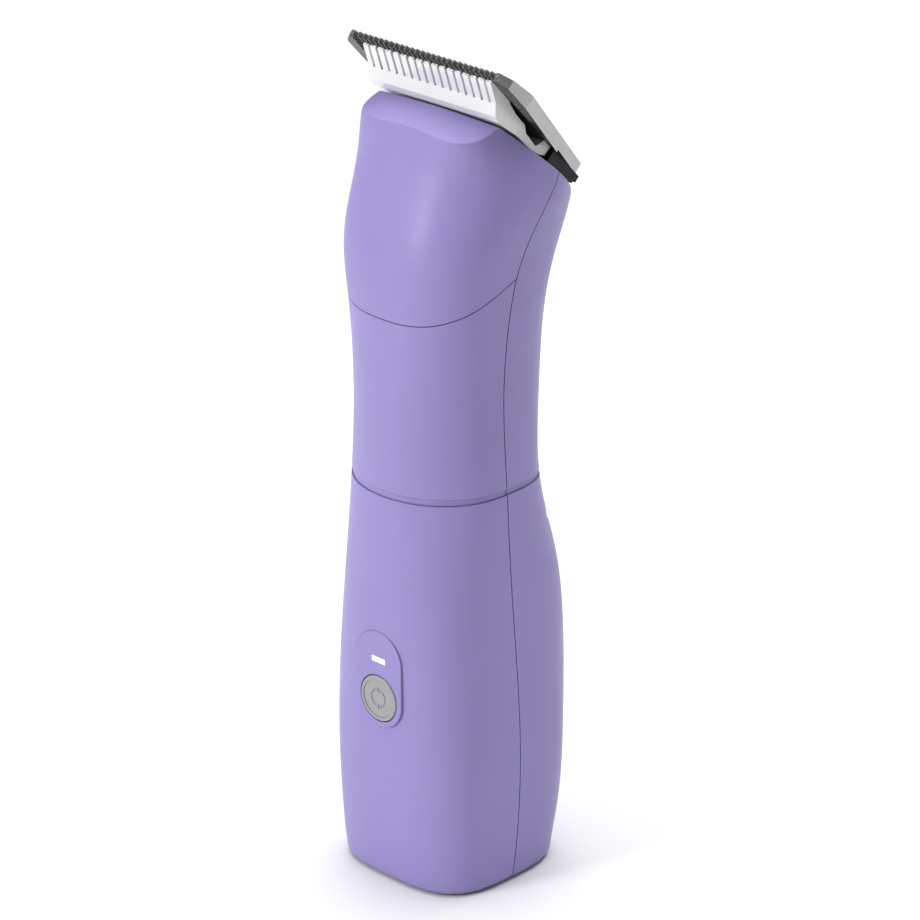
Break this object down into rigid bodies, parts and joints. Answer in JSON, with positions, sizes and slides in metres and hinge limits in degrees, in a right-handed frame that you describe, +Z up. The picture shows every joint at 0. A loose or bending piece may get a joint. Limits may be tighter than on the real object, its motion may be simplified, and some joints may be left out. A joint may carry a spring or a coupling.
{
  "type": "pet clipper",
  "caption": "Cordless pet clipper: waisted grip with a front power button, a bevelled head and a wide detachable comb and cutter blade set on a hinge.",
  "frame": {"origin": "middle of the flat base, directly below the middle of the grip", "axes": "+Z up along the handle, -Y to the front with the power button, +X across the blade"},
  "size_m": [0.048, 0.0495, 0.195],
  "materials": {
    "shell_plastic": "fine satin moulded plastic",
    "inner_plastic": "plain moulded plastic",
    "button_plastic": "soft satin",
    "lamp": "lit white lens",
    "board": "solder mask",
    "switch_body": "moulded",
    "spring_steel": "drawn wire",
    "screw_steel": "zinc plated",
    "battery_wrap": "shrink sleeve",
    "nickel_tab": "nickel strip",
    "can_steel": "plated drawn can",
    "copper": "copper bars",
    "winding": "enamelled windings",
    "magnet": "sintered ferrite",
    "shaft_steel": "ground",
    "brass_weight": "turned",
    "lever_plastic": "acetal",
    "frame_metal": "die cast",
    "seal_rubber": "moulded",
    "hinge_plate": "nickel plated",
    "release_plastic": "satin",
    "comb_steel": "ground and lapped",
    "cutter_ceramic": "polished white",
    "guide_plastic": "moulded",
    "bracket_steel": "black oxide",
    "wire_sleeve": "insulation"
  },
  "bodies": {
    "handle": {"front_housing": "shell_plastic", "back_housing": "shell_plastic", "drive_cap": "shell_plastic", "led_window": "lamp", "control_board": "board", "tactile_switch": "switch_body", "status_led": "lamp", "board_screws": "screw_steel", "button_spring": "spring_steel", "charging_inlet": "inner_plastic", "inlet_pin": "nickel_tab", "battery_cell": "battery_wrap", "battery_tabs": "nickel_tab", "battery_tray": "inner_plastic", "battery_leads": "wire_sleeve", "inlet_leads": "wire_sleeve", "motor_leads": "wire_sleeve", "motor_can": "can_steel", "motor_endbell": "inner_plastic", "motor_magnets": "magnet", "motor_screws": "screw_steel", "drive_frame": "frame_metal", "frame_screws": "screw_steel", "lever_pivot_pin": "shaft_steel", "pivot_spacers": "inner_plastic", "head_seal": "seal_rubber", "hinge_base": "hinge_plate", "hinge_screws": "screw_steel", "hinge_pin": "shaft_steel", "hinge_springs": "spring_steel", "latch_spring": "spring_steel", "housing_screws": "screw_steel", "cap_screws": "screw_steel"},
    "rotor": {"motor_shaft": "shaft_steel", "motor_armature": "winding", "motor_commutator": "copper", "counterweight": "brass_weight", "eccentric_crank": "shaft_steel", "crank_bearing": "can_steel"},
    "drive_arm": {"drive_lever": "lever_plastic", "lever_bush": "brass_weight"},
    "tongue": {"hinge_tongue": "hinge_plate"},
    "blade_set": {"comb": "comb_steel", "blade_bracket": "bracket_steel", "tension_springs": "spring_steel", "blade_screws": "screw_steel"},
    "cutter": {"cutter": "cutter_ceramic", "cutter_guide": "guide_plastic"},
    "power_button": {"power_button": "button_plastic"},
    "release_button": {"release_button": "release_plastic"}
  },
  "joints": [
    {"name": "blade_hinge", "type": "hinge", "parent": "handle", "child": "tongue", "pos_m": [0, 0.01855, 0.16272], "axis": [-1, 0, 0], "range_deg": [0, 55]},
    {"name": "blade_slide", "type": "slide", "parent": "tongue", "child": "blade_set", "axis": [0, -0.6884, 0.7254], "range_m": [0, 0.0072]},
    {"name": "cutter_slide", "type": "slide", "parent": "blade_set", "child": "cutter", "axis": [1, 0, 0], "range_m": [-0.00143, 0.00143]},
    {"name": "lever_swing", "type": "hinge", "parent": "handle", "child": "drive_arm", "pos_m": [0, 0.00177, 0.156], "axis": [0, 1, 0], "range_deg": [-3.68, 3.68]},
    {"name": "motor_spin", "type": "hinge", "parent": "handle", "child": "rotor", "pos_m": [0, -0.00275, 0.12], "axis": [0, 0, 1], "continuous": true},
    {"name": "button_press", "type": "slide", "parent": "handle", "child": "power_button", "axis": [0, 1, 0], "range_m": [0, 0.0006], "stiffness_N_per_m": 800},
    {"name": "release_press", "type": "slide", "parent": "handle", "child": "release_button", "axis": [0, -1, 0], "range_m": [0, 0.001], "stiffness_N_per_m": 600}
  ],
  "couplings": [
    {"joint": "lever_swing", "follows": "cutter_slide", "rad_per_m": 44.994}
  ]
}
